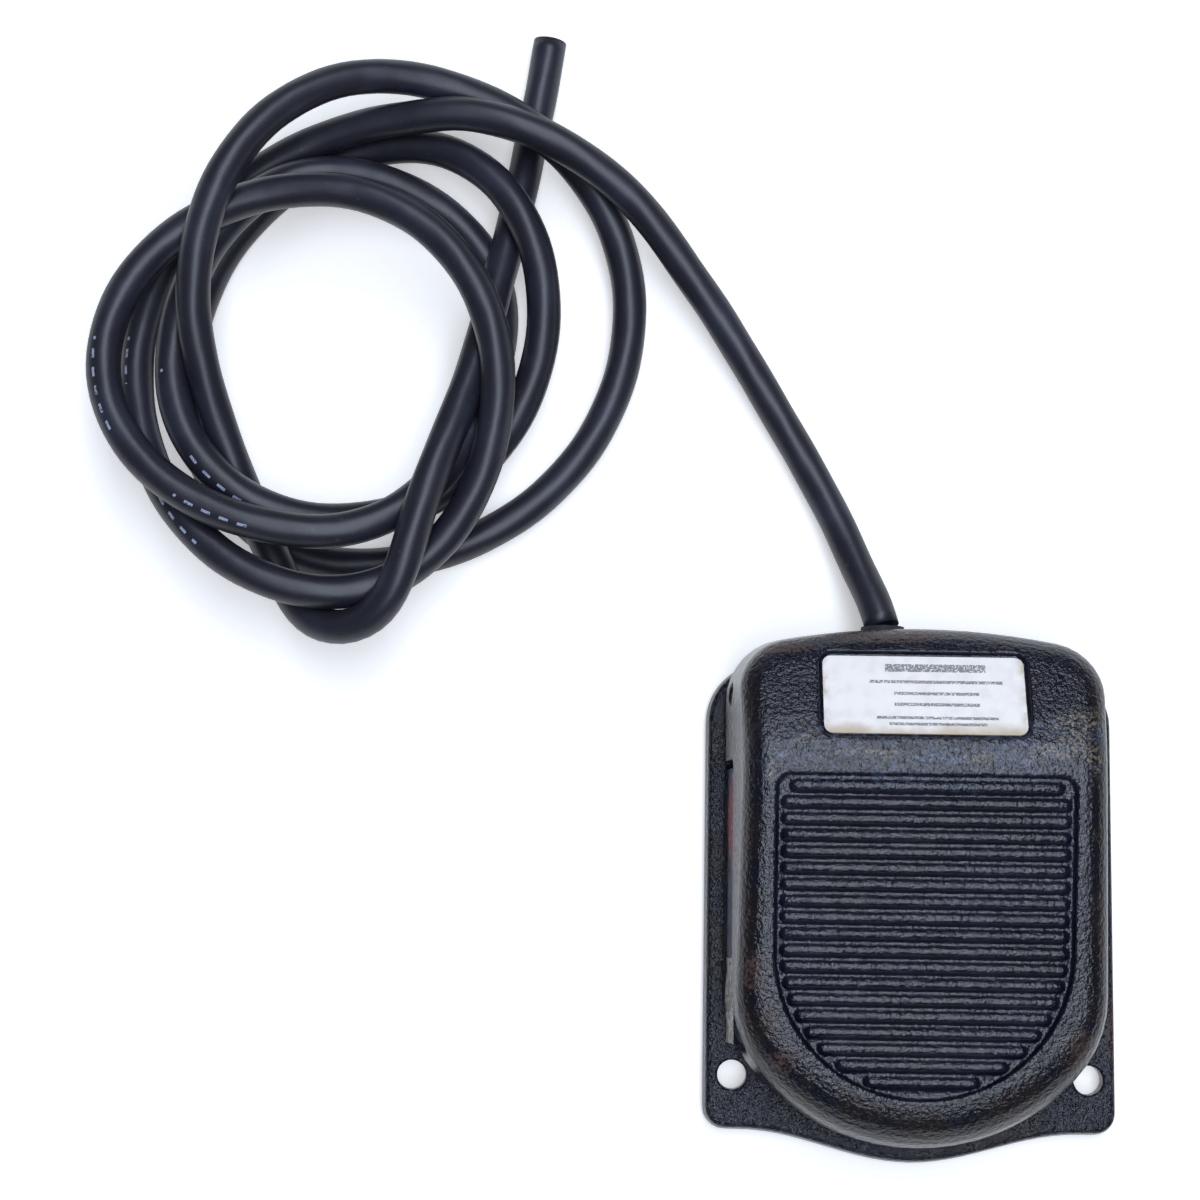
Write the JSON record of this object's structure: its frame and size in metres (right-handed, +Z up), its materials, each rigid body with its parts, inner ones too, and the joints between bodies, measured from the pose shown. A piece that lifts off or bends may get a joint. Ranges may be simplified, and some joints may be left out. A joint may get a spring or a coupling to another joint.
{
  "type": "foot switch",
  "caption": "Cast treadle foot switch with a ribbed tread, a flanged base with two mounting holes, a snap-action switch inside and a coiled round cord.",
  "frame": {"origin": "middle of the base's footprint, on the surface that the rubber feet stand on", "axes": "+Z up, +Y from the toe of the treadle to the cord, +X to the right of the foot"},
  "size_m": [0.2448, 0.2654, 0.0396],
  "materials": {
    "black_enamel": "gloss",
    "bright_steel": "satin",
    "spring_steel": "satin",
    "brass": "satin",
    "black_rubber": "matte",
    "cord_jacket": "satin",
    "switch_plastic": "matte",
    "red_plastic": "gloss",
    "blue_plastic": "satin",
    "plate_foil": "satin",
    "core_black": "gloss",
    "core_white": "gloss",
    "core_green": "gloss"
  },
  "bodies": {
    "base": {"base": "black_enamel", "toe_bumper": "black_rubber", "rubber_feet": "black_rubber", "return_springs": "spring_steel", "switch_case": "switch_plastic", "switch_cover": "switch_plastic", "switch_screws": "bright_steel", "lever_pin": "bright_steel", "terminal_common": "brass", "terminal_open": "brass", "terminal_closed": "brass", "push_on_connectors": "blue_plastic", "strain_relief": "black_rubber", "cord_clamp": "bright_steel", "clamp_screws": "bright_steel", "lead_black": "core_black", "lead_white": "core_white", "lead_green": "core_green", "ground_eyelet": "brass", "ground_screw": "bright_steel", "cord_lead": "cord_jacket", "cord_coil": "cord_jacket", "cord_tail": "cord_jacket"},
    "treadle": {"treadle": "black_enamel", "hinge_pins": "bright_steel", "name_plate": "plate_foil", "actuator_screw": "bright_steel", "actuator_locknut": "bright_steel"},
    "switch_lever": {"switch_lever": "spring_steel"},
    "switch_plunger": {"switch_plunger": "red_plastic"},
    "contact_blade": {"contact_blade": "brass"}
  },
  "joints": [
    {"name": "treadle_hinge", "type": "hinge", "parent": "base", "child": "treadle", "pos_m": [0, 0.0444, 0.0175], "axis": [1, 0, 0], "range_deg": [0, 3.2], "stiffness_Nm_per_rad": 6, "springref_deg": -14.32, "deforming": ["return_springs"]},
    {"name": "lever_hinge", "type": "hinge", "parent": "base", "child": "switch_lever", "pos_m": [0, 0.0134, 0.0218], "axis": [1, 0, 0], "range_deg": [0, 8.6]},
    {"name": "plunger_slide", "type": "slide", "parent": "base", "child": "switch_plunger", "axis": [0, 0, -1], "range_m": [0, 0.00128]},
    {"name": "blade_hinge", "type": "hinge", "parent": "base", "child": "contact_blade", "pos_m": [0, 0.0119, 0.0145], "axis": [1, 0, 0], "range_deg": [0, 10.5]}
  ],
  "couplings": [
    {"joint": "lever_hinge", "follows": "treadle_hinge", "ratio": 2.632},
    {"joint": "plunger_slide", "follows": "treadle_hinge", "m_per_rad": 0.0224},
    {"joint": "blade_hinge", "follows": "treadle_hinge", "ratio": 3.19}
  ]
}
